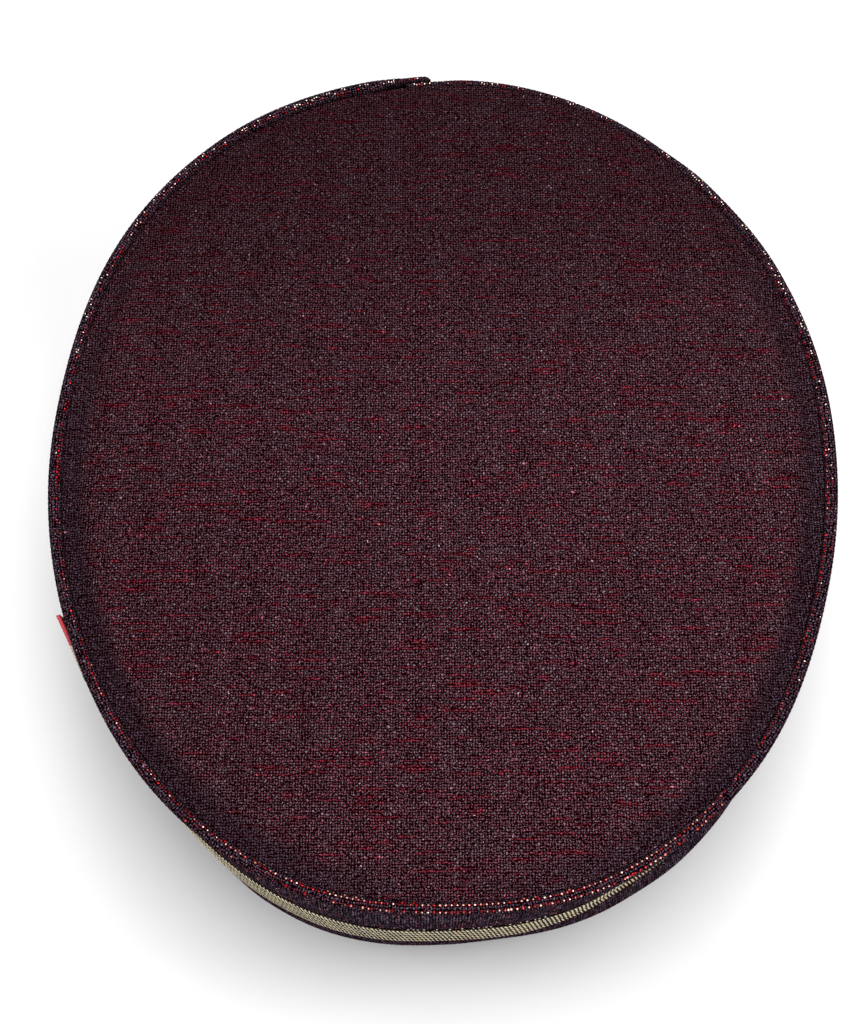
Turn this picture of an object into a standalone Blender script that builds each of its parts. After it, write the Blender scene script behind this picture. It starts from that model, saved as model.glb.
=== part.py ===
"""Bellhop hat: an oval pillbox of dark lurex cloth with a sunken top, a turned ridge, gold braid and a hem.

The front of the hat faces -Y, the wearer's right is -X and the floor is at Z 0. A turn is an angle round the
oval in degrees: 0 at +X, 90 at the centre back, 180 at -X and 270 at the centre front.
"""

import math
from collections import namedtuple

import bmesh
import bpy

# Lengths are in metres and turns in degrees

# Head and wall
HEAD_WIDTH = 0.176
HEAD_LENGTH = 0.198
HAT_HEIGHT = 0.080
WALL_THICK = 0.0020
SEAM_GAP = 0.0003

# Top panel
PANEL_THICK = 0.0016
PANEL_SINK = 0.0012
PANEL_DOME = 0.0008
PANEL_DENT = 0.0006
VALLEY_WIDTH = 0.0070

# Ridge round the top
RIDGE_OVERHANG = 0.0006
RIDGE_HEIGHT = 0.0032
RIDGE_ROOT = 0.0018
RIDGE_INSET = 0.0003
RIDGE_LAP = 0.0060
LAP_SHARE = 0.25
LAP_TURN = 93.5

# Hem and braid
HEM_HEIGHT = 0.0110
HEM_PLY = 0.0010
HEM_EASE = 0.0006
BRAID_HEIGHT = 0.0270
BRAID_THICK = 0.0010

# Side tab
TAB_LENGTH = 0.0160
TAB_HEIGHT = 0.0080
TAB_THICK = 0.0009
TAB_DROP = 0.0020
TAB_LIFT = 0.0016
TAB_TURN = 207.0

# How far the soft form strays from a true oval cylinder
OVAL_STRAY = 0.0013
WAIST_DEPTH = 0.0016
TUCK_DEPTH = 0.0024
FOOT_FLARE = 0.0020

# Fineness of the meshes
TURN_STEP = 5.0
ARC_POINTS = 7
BAND_LEVELS = 8
BRAID_LEVELS = 4
TAB_STATIONS = 7
TAB_LEVELS = 3
SHARP_ANGLE = 50.0
LAP_EASE = 0.014
WELD = 1e-6

OvalRow = namedtuple("OvalRow", "turn stray")
FormRow = namedtuple("FormRow", "turn waist tuck foot")
ValleyRow = namedtuple("ValleyRow", "turn depth")
RidgeRow = namedtuple("RidgeRow", "along lapped outer root height")
DentRow = namedtuple("DentRow", "turn reach spread depth")
RingRow = namedtuple("RingRow", "reach")

# Stray is a share of OVAL_STRAY, outward
OVAL_ROWS = [
    OvalRow(0, -0.25),
    OvalRow(22, 0.35),
    OvalRow(42, 0.35),
    OvalRow(62, 0.2),
    OvalRow(80, 0.0),
    OvalRow(98, -0.5),
    OvalRow(125, 1.0),
    OvalRow(140, 1.4),
    OvalRow(172, -0.1),
    OvalRow(205, 0.1),
    OvalRow(225, 0.5),
    OvalRow(248, 0.05),
    OvalRow(270, -1.5),
    OvalRow(298, 0.7),
    OvalRow(318, 0.9),
    OvalRow(345, -0.4),
]

# How far the wall stands out at three levels: waist is a share of WAIST_DEPTH half way up the bare wall, tuck a
# share of TUCK_DEPTH low on the braid, and foot a share of FOOT_FLARE at the floor
FORM_ROWS = [
    FormRow(0, -0.6, -0.3, 0.0),
    FormRow(35, -0.3, 0.0, 0.2),
    FormRow(60, 0.2, 0.1, 0.3),
    FormRow(90, -0.4, -0.2, 0.1),
    FormRow(125, 0.3, 0.1, 0.3),
    FormRow(155, -0.4, -0.2, 0.0),
    FormRow(180, -0.7, -0.4, -0.2),
    FormRow(212, -0.4, -0.4, -0.7),
    FormRow(228, -0.2, -0.3, -0.8),
    FormRow(240, 0.1, 0.0, 0.1),
    FormRow(256, 0.2, 0.1, 0.5),
    FormRow(270, 0.1, 0.0, 0.2),
    FormRow(280, 0.1, -0.1, -0.2),
    FormRow(290, 0.0, -0.55, -0.1),
    FormRow(300, -0.4, -1.1, 0.1),
    FormRow(310, -0.4, -1.0, 0.6),
    FormRow(325, -0.3, -0.5, 0.8),
    FormRow(342, -0.4, -0.3, 0.1),
]

# Depth is a share of RIDGE_HEIGHT from the panel's level down to its edge
VALLEY_ROWS = [
    ValleyRow(0, 0.65),
    ValleyRow(30, 0.50),
    ValleyRow(52, 0.32),
    ValleyRow(88, 0.30),
    ValleyRow(96, 0.34),
    ValleyRow(130, 0.38),
    ValleyRow(155, 0.5),
    ValleyRow(180, 0.65),
    ValleyRow(215, 0.8),
    ValleyRow(240, 0.7),
    ValleyRow(270, 0.45),
    ValleyRow(300, 0.6),
    ValleyRow(330, 0.75),
]

# Along is a share of the way round, anticlockwise from above, from where the ridge's two ends stop lapping at the
# centre back to where they meet again. Lapped is 1 where the inner face stands clear of the end that it covers,
# outer and root are the outer face at the shoulder and at the base as shares of RIDGE_WIDTH, and height is a share
# of RIDGE_HEIGHT. The first row's section runs on over the last row's, as the lap.
RIDGE_ROWS = [
    RidgeRow(0.000, 1.0, 0.84, 0.84, 0.85),
    RidgeRow(0.014, 0.0, 0.84, 0.84, 0.85),
    RidgeRow(0.10, 0.0, 0.84, 0.84, 0.85),
    RidgeRow(0.18, 0.0, 0.90, 0.88, 0.95),
    RidgeRow(0.25, 0.0, 1.00, 0.92, 1.00),
    RidgeRow(0.50, 0.0, 1.02, 0.94, 0.95),
    RidgeRow(0.65, 0.0, 1.00, 0.94, 1.00),
    RidgeRow(0.75, 0.0, 1.00, 0.92, 1.00),
    RidgeRow(0.83, 0.0, 0.88, 0.85, 0.85),
    RidgeRow(0.875, 0.0, 0.62, 0.84, 0.60),
    RidgeRow(0.90, 0.0, 0.42, 0.84, 0.42),
    RidgeRow(0.984, 0.0, 0.37, 0.84, 0.38),
    RidgeRow(1.000, 0.0, LAP_SHARE, LAP_SHARE, 0.35),
]

# Reach and spread are shares of the way from the panel's middle to its edge, and depth a share of PANEL_DENT
DENT_ROWS = [
    DentRow(50, 0.45, 0.30, 0.7),
    DentRow(150, 0.55, 0.26, -0.8),
    DentRow(235, 0.50, 0.28, 0.8),
    DentRow(300, 0.60, 0.24, -0.6),
    DentRow(200, 0.10, 0.22, 0.5),
]

# Where the panel's rings lie, as shares of the way from its middle to its edge
RING_ROWS = [
    RingRow(1.0),
    RingRow(0.985),
    RingRow(0.965),
    RingRow(0.94),
    RingRow(0.90),
    RingRow(0.80),
    RingRow(0.62),
    RingRow(0.42),
    RingRow(0.20),
    RingRow(0.0),
]

# Levels that the others are worked out from
RIDGE_WIDTH = WALL_THICK + RIDGE_OVERHANG
RIDGE_BASE = HAT_HEIGHT - RIDGE_HEIGHT - RIDGE_ROOT
WALL_TOP = RIDGE_BASE - SEAM_GAP
WALL_FOOT = HEM_PLY + SEAM_GAP
BRAID_FOOT = HEM_HEIGHT + SEAM_GAP
TUCK_LEVEL = BRAID_FOOT + BRAID_HEIGHT / 4
WAIST_LEVEL = (BRAID_FOOT + BRAID_HEIGHT + WALL_TOP) / 2


def slope(low, here, high, turns):
    """A cubic's slope at the middle of three values, level where they turn back, so that it never overshoots."""
    rise_in = (here - low) / (turns[1] - turns[0])
    rise_out = (high - here) / (turns[2] - turns[1])
    if rise_in * rise_out <= 0:
        return 0.0
    return 2 * rise_in * rise_out / (rise_in + rise_out)


def read_column(rows, column, turn):
    """A table's column at a turn, on a smooth curve from row to row and round from the last to the first."""
    count = len(rows)
    turn = rows[0][0] + (turn - rows[0][0]) % 360
    after = next((i for i, row in enumerate(rows) if row[0] > turn), count)
    picked = [rows[(after + step) % count] for step in (-2, -1, 0, 1)]
    turns = [rows[(after + step) % count][0] + 360 * ((after + step) // count) for step in (-2, -1, 0, 1)]
    values = [getattr(row, column) for row in picked]
    slope_low = slope(*values[:3], turns[:3])
    slope_high = slope(*values[1:], turns[1:])
    span = turns[2] - turns[1]
    share = (turn - turns[1]) / span
    left = 1 - share
    return (
        values[1] * left * left * (1 + 2 * share)
        + values[2] * share * share * (3 - 2 * share)
        + span * slope_low * share * left * left
        - span * slope_high * share * share * left
    )


def read_along(rows, column, past):
    """An open table's column at a place between its rows, eased from one row to the next."""
    after = next((i for i, row in enumerate(rows) if row[0] > past), len(rows) - 1)
    low = rows[after - 1]
    high = rows[after]
    share = min(1.0, (past - low[0]) / (high[0] - low[0]))
    eased = share * share * (3 - 2 * share)
    return getattr(low, column) * (1 - eased) + getattr(high, column) * eased


def oval_point(turn, out, level):
    """The point so far out from the wall's inner face at its top, at this turn and level."""
    angle = math.radians(turn)
    across = HEAD_WIDTH / 2 * math.cos(angle)
    along = HEAD_LENGTH / 2 * math.sin(angle)
    normal = (math.cos(angle) / HEAD_WIDTH, math.sin(angle) / HEAD_LENGTH)
    size = math.hypot(*normal)
    out += OVAL_STRAY * read_column(OVAL_ROWS, "stray", turn)
    return (across + out * normal[0] / size, along + out * normal[1] / size, level)


def wall_point(turn, out, level):
    """As oval_point, with the wall's waist, tuck and foot, which the braid and the hem follow."""
    heights = (0.0, TUCK_LEVEL, WAIST_LEVEL, WALL_TOP)
    leans = (
        FOOT_FLARE * read_column(FORM_ROWS, "foot", turn),
        TUCK_DEPTH * read_column(FORM_ROWS, "tuck", turn),
        WAIST_DEPTH * read_column(FORM_ROWS, "waist", turn),
        0.0,
    )
    upper = next((i for i, height in enumerate(heights) if height > level), 3)
    share = (level - heights[upper - 1]) / (heights[upper] - heights[upper - 1])
    eased = share * share * (3 - 2 * share)
    return oval_point(turn, out + leans[upper - 1] * (1 - eased) + leans[upper] * eased, level)


def turn_length(turn):
    """Metres round the oval for one degree at this turn."""
    angle = math.radians(turn)
    speed = math.hypot(HEAD_WIDTH / 2 * math.sin(angle), HEAD_LENGTH / 2 * math.cos(angle))
    return math.radians(speed)


def round_turns():
    """Every turn of a closed ring, with its first one again at the end."""
    steps = round(360 / TURN_STEP)
    return [step * 360 / steps for step in range(steps + 1)]


def bend_grid(name, columns, rows, place):
    """A flat grid with each crossing put in place, and welded where its edges meet."""
    grid = bmesh.new()
    bmesh.ops.create_grid(grid, x_segments=len(columns) - 1, y_segments=len(rows) - 1, size=0.5)
    for vert in grid.verts:
        column = round((vert.co.x + 0.5) * (len(columns) - 1))
        row = round((vert.co.y + 0.5) * (len(rows) - 1))
        vert.co = place(columns[column], rows[row])
    bmesh.ops.remove_doubles(grid, verts=grid.verts, dist=WELD)
    bmesh.ops.recalc_face_normals(grid, faces=grid.faces)
    mesh = bpy.data.meshes.new(name)
    grid.to_mesh(mesh)
    grid.free()
    return bpy.data.objects.new(name, mesh)


def close_ends(part):
    """Fills the two open ends of a swept body."""
    body = bmesh.new()
    body.from_mesh(part.data)
    open_edges = [edge for edge in body.edges if edge.is_boundary]
    bmesh.ops.holes_fill(body, edges=open_edges, sides=0)
    bmesh.ops.recalc_face_normals(body, faces=body.faces)
    body.to_mesh(part.data)
    body.free()


def thicken(part, thickness):
    """Turns an open sheet into a wall, half of it on each side."""
    shell = part.modifiers.new("Thickness", "SOLIDIFY")
    shell.thickness = thickness
    shell.offset = 0.0
    shell.use_even_offset = True


def ridge_section(along):
    """The ridge's outline at a place along it: outer root, rounded crest, inner root and back."""
    clear = RIDGE_INSET + LAP_SHARE * RIDGE_WIDTH + SEAM_GAP
    inner = clear * read_along(RIDGE_ROWS, "lapped", along) - RIDGE_INSET
    outer = RIDGE_WIDTH * read_along(RIDGE_ROWS, "outer", along)
    root = RIDGE_WIDTH * read_along(RIDGE_ROWS, "root", along)
    crest = RIDGE_BASE + RIDGE_ROOT + RIDGE_HEIGHT * read_along(RIDGE_ROWS, "height", along)
    half = (outer - inner) / 2
    points = [(root, RIDGE_BASE)]
    for step in range(ARC_POINTS):
        angle = math.pi * step / (ARC_POINTS - 1)
        points.append((inner + half + half * math.cos(angle), crest - half + half * math.sin(angle)))
    points.append((inner, RIDGE_BASE))
    points.append(points[0])
    return points


def ridge_stations():
    """A turn and a place along for each of the ridge's sections, with the lap's two ends kept level."""
    lap = RIDGE_LAP / turn_length(LAP_TURN)
    start = LAP_TURN - lap / 2
    steps = round(360 / TURN_STEP)
    alongs = [LAP_EASE * step / 2 for step in range(3)]
    alongs += [step / steps for step in range(2, steps - 1)]
    alongs += [1 - LAP_EASE * step / 2 for step in (2, 1, 0)]
    stations = [(start + lap * share, 0.0) for share in (0.0, 0.5)]
    stations += [(start + lap + (360 - lap) * along, along) for along in alongs]
    stations += [(start + 360 + lap * share, 1.0) for share in (0.5, 1.0)]
    return stations


def build_ridge():
    """The turned fold round the top, an open ring whose ends lap at the centre back."""

    def place(station, row):
        turn, along = station
        return oval_point(turn, *ridge_section(along)[row])

    part = bend_grid("top_ridge", ridge_stations(), range(len(ridge_section(0.0))), place)
    close_ends(part)
    return part


def panel_level(turn, reach):
    """The height of the middle of the panel's thickness, with its valley at the edge, its dome and its dents."""
    middle = HAT_HEIGHT - PANEL_SINK - PANEL_THICK / 2
    dome = PANEL_DOME * (1 - reach * reach)
    from_edge = (1 - reach) * HEAD_WIDTH / 2
    near = max(0.0, 1 - from_edge / VALLEY_WIDTH)
    valley = RIDGE_HEIGHT * read_column(VALLEY_ROWS, "depth", turn) * near * near * (3 - 2 * near)
    dents = 0.0
    for dent in DENT_ROWS:
        angle = math.radians(turn - dent.turn)
        apart = math.sqrt(reach * reach + dent.reach * dent.reach - 2 * reach * dent.reach * math.cos(angle))
        dents += dent.depth * math.exp(-((apart / dent.spread) ** 2))
    return middle + dome - valley - PANEL_DENT * dents


def build_panel():
    """The sunken top panel, in rings from its edge to its middle."""

    def place(turn, ring):
        edge = oval_point(turn, -RIDGE_INSET - SEAM_GAP, 0.0)
        return (edge[0] * ring.reach, edge[1] * ring.reach, panel_level(turn, ring.reach))

    part = bend_grid("crown_top", round_turns(), RING_ROWS, place)
    thicken(part, PANEL_THICK)
    return part


def levels_between(low, high, count):
    """Evenly spaced levels, both ends included."""
    return [low + (high - low) * step / (count - 1) for step in range(count)]


def build_band():
    """The upright wall, from inside the hem to under the ridge."""

    def place(turn, level):
        return wall_point(turn, WALL_THICK / 2, level)

    part = bend_grid("side_band", round_turns(), levels_between(WALL_FOOT, WALL_TOP, BAND_LEVELS), place)
    thicken(part, WALL_THICK)
    return part


def build_braid():
    """The flat ribbon round the wall, just above the hem."""

    def place(turn, level):
        return wall_point(turn, WALL_THICK + SEAM_GAP + BRAID_THICK / 2, level)

    levels = levels_between(BRAID_FOOT, BRAID_FOOT + BRAID_HEIGHT, BRAID_LEVELS)
    part = bend_grid("gold_braid", round_turns(), levels, place)
    thicken(part, BRAID_THICK)
    return part


def hem_section():
    """The hem's outline: up its outer ply, down into the fold and up and over its inner ply, with a flat foot."""
    slot_out = WALL_THICK + SEAM_GAP
    slot_in = -SEAM_GAP
    out = slot_out + HEM_PLY
    inside = slot_in - HEM_PLY
    points = [
        (out - HEM_EASE, 0.0),
        (out, HEM_EASE),
        (out, HEM_HEIGHT / 2),
        (out, HEM_HEIGHT),
        (slot_out, HEM_HEIGHT),
        (slot_out, HEM_PLY),
        (slot_in, HEM_PLY),
        (slot_in, HEM_HEIGHT),
        (inside, HEM_HEIGHT),
        (inside, HEM_EASE),
        (inside + HEM_EASE, 0.0),
    ]
    return points + points[:1]


def build_hem():
    """The turned hem, a channel that the wall's lower edge stands in."""

    def place(turn, point):
        return wall_point(turn, *point)

    return bend_grid("hem_fold", round_turns(), hem_section(), place)


def build_tab():
    """The small woven tab, sewn down at its front end and standing off the wall at its back end."""
    span = TAB_LENGTH / turn_length(TAB_TURN)
    top = WALL_TOP - TAB_DROP

    def place(share, level):
        lift = TAB_LIFT * share * share
        out = WALL_THICK + SEAM_GAP + TAB_THICK / 2 + lift
        return wall_point(TAB_TURN - span * share, out, level)

    stations = levels_between(0.0, 1.0, TAB_STATIONS)
    part = bend_grid("side_tab", stations, levels_between(top - TAB_HEIGHT, top, TAB_LEVELS), place)
    thicken(part, TAB_THICK)
    return part


def paint(part, colour, roughness, metallic):
    """Gives a part its own plain material."""
    material = bpy.data.materials.new(part.name)
    material.use_nodes = True
    shader = material.node_tree.nodes["Principled BSDF"]
    shader.inputs["Base Color"].default_value = (*colour, 1.0)
    shader.inputs["Roughness"].default_value = roughness
    shader.inputs["Metallic"].default_value = metallic
    part.data.materials.append(material)


def shade(part):
    """Smooths the round faces and keeps the edges of the cloth crisp."""
    part.data.shade_smooth()
    part.data.set_sharp_from_angle(angle=math.radians(SHARP_ANGLE))


def clear_scene():
    for old in list(bpy.data.objects):
        bpy.data.objects.remove(old, do_unlink=True)


def build_hat():
    parts = bpy.data.collections.new("bellhop_hat")
    bpy.context.scene.collection.children.link(parts)
    made = [
        (build_panel(), (0.055, 0.018, 0.024), 0.7, 0.2),
        (build_ridge(), (0.060, 0.012, 0.020), 0.6, 0.3),
        (build_band(), (0.035, 0.016, 0.022), 0.75, 0.1),
        (build_braid(), (0.58, 0.46, 0.22), 0.4, 0.8),
        (build_hem(), (0.035, 0.014, 0.020), 0.75, 0.1),
        (build_tab(), (0.45, 0.05, 0.06), 0.8, 0.0),
    ]
    for part, colour, roughness, metallic in made:
        paint(part, colour, roughness, metallic)
        shade(part)
        parts.objects.link(part)


clear_scene()
build_hat()
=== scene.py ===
import math
import random

import bmesh
import bpy
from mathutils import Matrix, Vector


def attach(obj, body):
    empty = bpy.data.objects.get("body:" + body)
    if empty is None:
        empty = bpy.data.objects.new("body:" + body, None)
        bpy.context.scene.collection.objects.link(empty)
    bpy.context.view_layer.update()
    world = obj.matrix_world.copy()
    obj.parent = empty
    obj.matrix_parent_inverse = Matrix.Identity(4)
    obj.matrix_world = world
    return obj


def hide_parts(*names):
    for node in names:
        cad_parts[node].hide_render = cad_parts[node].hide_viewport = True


# Bellhop hat of dark lurex cloth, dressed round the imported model.
# The front is at -Y, the wearer's right at -X. A turn is an angle round the oval:
# 0 at +X, 90 at the centre back, 180 at -X and 270 at the centre front.

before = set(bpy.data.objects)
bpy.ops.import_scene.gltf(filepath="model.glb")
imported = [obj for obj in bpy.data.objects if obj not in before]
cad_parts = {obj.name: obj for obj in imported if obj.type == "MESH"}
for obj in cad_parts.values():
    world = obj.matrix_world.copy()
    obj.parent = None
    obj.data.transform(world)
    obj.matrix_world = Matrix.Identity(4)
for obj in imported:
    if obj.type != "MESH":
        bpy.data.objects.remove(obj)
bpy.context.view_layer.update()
print("frame loaded")

# the hat's form, shared by every piece
form = {
    "width": 0.176,       # of the hollow
    "length": 0.198,
    "height": 0.080,
    "wall": 0.0020,       # how thick the wall is
    "gap": 0.0003,        # between one piece and the next
    "stray": 0.0013,      # what ovalRows gives shares of
    "waist": 0.0016,      # what leanRows gives shares of, in its three columns
    "tuck": 0.0024,
    "flare": 0.0020,
    "girthOut": 0.0010,   # how far outside the hollow the girth is measured
    "hemHeight": 0.0110,
    "braidHeight": 0.0270,
    "ridgeHeight": 0.0032,
    "ridgeRoot": 0.0018,
}
form["ridgeBase"] = form["height"] - form["ridgeHeight"] - form["ridgeRoot"]
form["wallTop"] = form["ridgeBase"] - form["gap"]
form["braidFoot"] = form["hemHeight"] + form["gap"]
form["braidTop"] = form["braidFoot"] + form["braidHeight"]
form["tuckLevel"] = form["braidFoot"] + form["braidHeight"] / 4
form["waistLevel"] = (form["braidTop"] + form["wallTop"]) / 2

# turn, how far the oval strays outward
ovalRows = [
    (0, -0.25), (22, 0.35), (42, 0.35), (62, 0.2), (80, 0.0), (98, -0.5), (125, 1.0), (140, 1.4),
    (172, -0.1), (205, 0.1), (225, 0.5), (248, 0.05), (270, -1.5), (298, 0.7), (318, 0.9), (345, -0.4),
]
# turn, how far the wall leans out at its waist, at the braid's tuck and at its foot
leanRows = [
    (0, -0.6, -0.3, 0.0), (35, -0.3, 0.0, 0.2), (60, 0.2, 0.1, 0.3), (90, -0.4, -0.2, 0.1),
    (125, 0.3, 0.1, 0.3), (155, -0.4, -0.2, 0.0), (180, -0.7, -0.4, -0.2), (212, -0.4, -0.4, -0.7),
    (228, -0.2, -0.3, -0.8), (240, 0.1, 0.0, 0.1), (250, 0.5, 0.15, 0.35), (260, 0.7, 0.25, 0.42),
    (270, 0.55, 0.1, 0.2), (280, 0.25, -0.05, -0.2), (290, 0.0, -0.55, -0.1), (300, -0.4, -1.1, 0.1),
    (310, -0.4, -1.0, 0.6), (325, -0.3, -0.5, 0.8), (342, -0.4, -0.3, 0.1),
]


def smooth(share):
    share = min(1.0, max(0.0, share))
    return share * share * (3 - 2 * share)


def slopeAt(low, here, high, turns):
    riseIn = (here - low) / (turns[1] - turns[0])
    riseOut = (high - here) / (turns[2] - turns[1])
    return 0.0 if riseIn * riseOut <= 0 else 2 * riseIn * riseOut / (riseIn + riseOut)


def readRound(rows, column, turn):  # a smooth curve through a table that closes on itself
    count = len(rows)
    turn = rows[0][0] + (turn - rows[0][0]) % 360
    after = next((i for i, row in enumerate(rows) if row[0] > turn), count)
    spots = [after + step for step in (-2, -1, 0, 1)]
    turns = [rows[i % count][0] + 360 * (i // count) for i in spots]
    values = [rows[i % count][column] for i in spots]
    slopeLow = slopeAt(*values[:3], turns[:3])
    slopeHigh = slopeAt(*values[1:], turns[1:])
    span = turns[2] - turns[1]
    share = (turn - turns[1]) / span
    left = 1 - share
    return (
        values[1] * left * left * (1 + 2 * share)
        + values[2] * share * share * (3 - 2 * share)
        + span * slopeLow * share * left * left
        - span * slopeHigh * share * share * left
    )


def readAlong(rows, column, past):  # an open table, eased from row to row
    after = next((i for i, row in enumerate(rows) if row[0] > past), len(rows) - 1)
    low, high = rows[after - 1], rows[after]
    eased = smooth((past - low[0]) / (high[0] - low[0]))
    return low[column] * (1 - eased) + high[column] * eased


rims = {}


def rimAt(turn):  # the wall's inner face at its top: place, outward normal and the three leans
    if turn not in rims:
        angle = math.radians(turn)
        across, along = math.cos(angle) / form["width"], math.sin(angle) / form["length"]
        size = math.hypot(across, along)
        out = form["stray"] * readRound(ovalRows, 1, turn)
        normal = (across / size, along / size)
        spot = (form["width"] / 2 * math.cos(angle) + out * normal[0],
                form["length"] / 2 * math.sin(angle) + out * normal[1])
        leans = (form["flare"] * readRound(leanRows, 3, turn),
                 form["tuck"] * readRound(leanRows, 2, turn),
                 form["waist"] * readRound(leanRows, 1, turn), 0.0)
        rims[turn] = (spot, normal, leans)
    return rims[turn]


def ovalSpot(turn, out, level):
    spot, normal = rimAt(turn)[:2]
    return Vector((spot[0] + out * normal[0], spot[1] + out * normal[1], level))


def wallSpot(turn, out, level):  # as ovalSpot, with the wall's lean at that level
    heights = (0.0, form["tuckLevel"], form["waistLevel"], form["wallTop"])
    leans = rimAt(turn)[2]
    upper = next((i for i, height in enumerate(heights) if height > level), 3)
    eased = smooth((level - heights[upper - 1]) / (heights[upper] - heights[upper - 1]))
    return ovalSpot(turn, out + leans[upper - 1] * (1 - eased) + leans[upper] * eased, level)


def findStep(values, target):  # the step of a rising list that a value falls in, and how far into it
    low, high = 0, len(values) - 1
    while high - low > 1:
        middle = (low + high) // 2
        low, high = (middle, high) if values[middle] <= target else (low, middle)
    return low, (target - values[low]) / (values[high] - values[low])


stepsPerDegree = 4
fineTurns = [step / stepsPerDegree for step in range(360 * stepsPerDegree + 1)]
fineSpots = [ovalSpot(turn, form["girthOut"], 0) for turn in fineTurns]
paces = [0.0]
for low, high in zip(fineSpots, fineSpots[1:]):
    paces.append(paces[-1] + (high - low).length)
girth = paces[-1]


def turnAt(pace):  # the turn that lies so many metres round the wall
    around, pace = divmod(pace, girth)
    low, share = findStep(paces, pace)
    return 360 * around + fineTurns[low] + share * (fineTurns[low + 1] - fineTurns[low])


def paceAt(turn):
    around, turn = divmod(turn, 360)
    low = min(int(turn * stepsPerDegree), len(paces) - 2)
    return girth * around + paces[low] + (turn * stepsPerDegree - low) * (paces[low + 1] - paces[low])


# Yarn count, which the meshes and the cloth's material share. Each crossing of two yarns is a mesh point.
yarn = {
    "round": 936,        # yarns round the wall, the ridge and the hem
    "up": 0.00061,       # from one row to the next on those pieces
    "relief": 0.00009,   # how far a weft crossing stands over a warp one
    "jitter": 0.000012,
    "weld": 1e-6,        # crossings closer than this are one
    "seed": 4,
}
roundTurns = [turnAt(girth * step / yarn["round"]) for step in range(yarn["round"])]
roundTurns.append(roundTurns[0] + 360)
print(f"girth {girth * 1000:.0f} mm, {yarn['round']} yarns round")


def relief(column, row, dice):
    return yarn["relief"] * (0.5 - (column + row) % 2) + dice.uniform(-yarn["jitter"], yarn["jitter"])


# A flat grid is bent so that each crossing takes its place, and gets a map that counts yarns
def bendCloth(name, columnCount, rowCount, place, counts):
    cloth = bmesh.new()
    bmesh.ops.create_grid(cloth, x_segments=columnCount - 1, y_segments=rowCount - 1, size=0.5)
    cloth.verts.index_update()
    crossings = []
    for vert in cloth.verts:
        crossings.append((round((vert.co.x + 0.5) * (columnCount - 1)),
                          round((vert.co.y + 0.5) * (rowCount - 1))))
    layer = cloth.loops.layers.uv.new("Weave")
    for face in cloth.faces:
        face.smooth = True
        for loop in face.loops:
            loop[layer].uv = counts(*crossings[loop.vert.index])
    for vert, crossing in zip(cloth.verts, crossings):
        vert.co = place(*crossing)
    bmesh.ops.remove_doubles(cloth, verts=cloth.verts, dist=yarn["weld"])
    holes = [edge for edge in cloth.edges if edge.is_boundary]
    if holes:
        bmesh.ops.holes_fill(cloth, edges=holes, sides=0)
    bmesh.ops.recalc_face_normals(cloth, faces=cloth.faces)
    return finishPiece(name, cloth)


def finishPiece(name, shape):
    mesh = bpy.data.meshes.new(name)
    shape.to_mesh(mesh)
    shape.free()
    piece = bpy.data.objects.new(name, mesh)
    bpy.context.scene.collection.objects.link(piece)
    return piece


def acrossOf(outline, index):  # outward across a closed outline, from a point's two neighbours
    before = outline[index - 1 if index else len(outline) - 2]
    after = outline[index + 1 if index < len(outline) - 1 else 1]
    run = math.hypot(after[0] - before[0], after[1] - before[1])
    return (after[1] - before[1]) / run, (before[0] - after[0]) / run


# A closed outline of (out, level, relief) points swept round the wall, with its relief from 0 to 1
def sweepCloth(name, outline, seed):
    dice = random.Random(seed)
    normals = [acrossOf(outline, row) for row in range(len(outline))]
    travelled = [0.0]
    for low, high in zip(outline, outline[1:]):
        travelled.append(travelled[-1] + math.hypot(high[0] - low[0], high[1] - low[1]))
    counts = [part / yarn["up"] for part in travelled]
    first = next((counts[row] - row for row, point in enumerate(outline) if point[2] == 1.0), 0.0)
    lifts = [[relief(column, row, dice) * point[2] for row, point in enumerate(outline)]
             for column in range(len(roundTurns))]
    lifts[-1] = lifts[0]
    for column in lifts:
        column[-1] = column[0]

    def place(column, row):
        out, level = outline[row][:2]
        lift = lifts[column][row]
        return wallSpot(roundTurns[column], out + lift * normals[row][0], level + lift * normals[row][1])

    return bendCloth(name, len(roundTurns), len(outline), place,
                     lambda column, row: (column, counts[row] - first))


def steps(low, high, count):  # evenly spaced, both ends included
    return [low + (high - low) * step / (count - 1) for step in range(count)]


def newMaterial(name):
    material = bpy.data.materials.new(name)
    material.use_nodes = True
    return material, material.node_tree, material.node_tree.nodes["Principled BSDF"]


def addNode(tree, kind, inputs, **settings):
    node = tree.nodes.new(kind)
    for key, value in settings.items():
        setattr(node, key, value)
    for key, value in inputs.items():
        if isinstance(value, bpy.types.NodeSocket):
            tree.links.new(value, node.inputs[key])
        else:
            node.inputs[key].default_value = value
    return node


def mathNode(tree, operation, *values, clamp=False):
    node = addNode(tree, "ShaderNodeMath", dict(enumerate(values)), operation=operation, use_clamp=clamp)
    return node.outputs[0]


def timesOf(tree, value, factor):
    return mathNode(tree, "MULTIPLY", value, factor)


def between(tree, share, low, high):
    return mathNode(tree, "MULTIPLY_ADD", mathNode(tree, "SUBTRACT", high, low), share, low)


def rangeNode(tree, value, low, high, to=(0.0, 1.0), kind="SMOOTHSTEP"):
    inputs = {"Value": value, "From Min": low, "From Max": high, "To Min": to[0], "To Max": to[1]}
    return addNode(tree, "ShaderNodeMapRange", inputs, interpolation_type=kind).outputs[0]


def mixColour(tree, share, low, high):
    return addNode(tree, "ShaderNodeMix", {0: share, 6: low, 7: high}, data_type="RGBA").outputs[2]


def vectorOf(tree, x, y, z=0.0):
    return addNode(tree, "ShaderNodeCombineXYZ", {0: x, 1: y, 2: z}).outputs[0]


def noiseOf(tree, vector, scale, detail=1.0):
    inputs = {"Vector": vector, "Scale": scale, "Detail": detail, "Roughness": 0.5}
    return addNode(tree, "ShaderNodeTexNoise", inputs).outputs[0]


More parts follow.
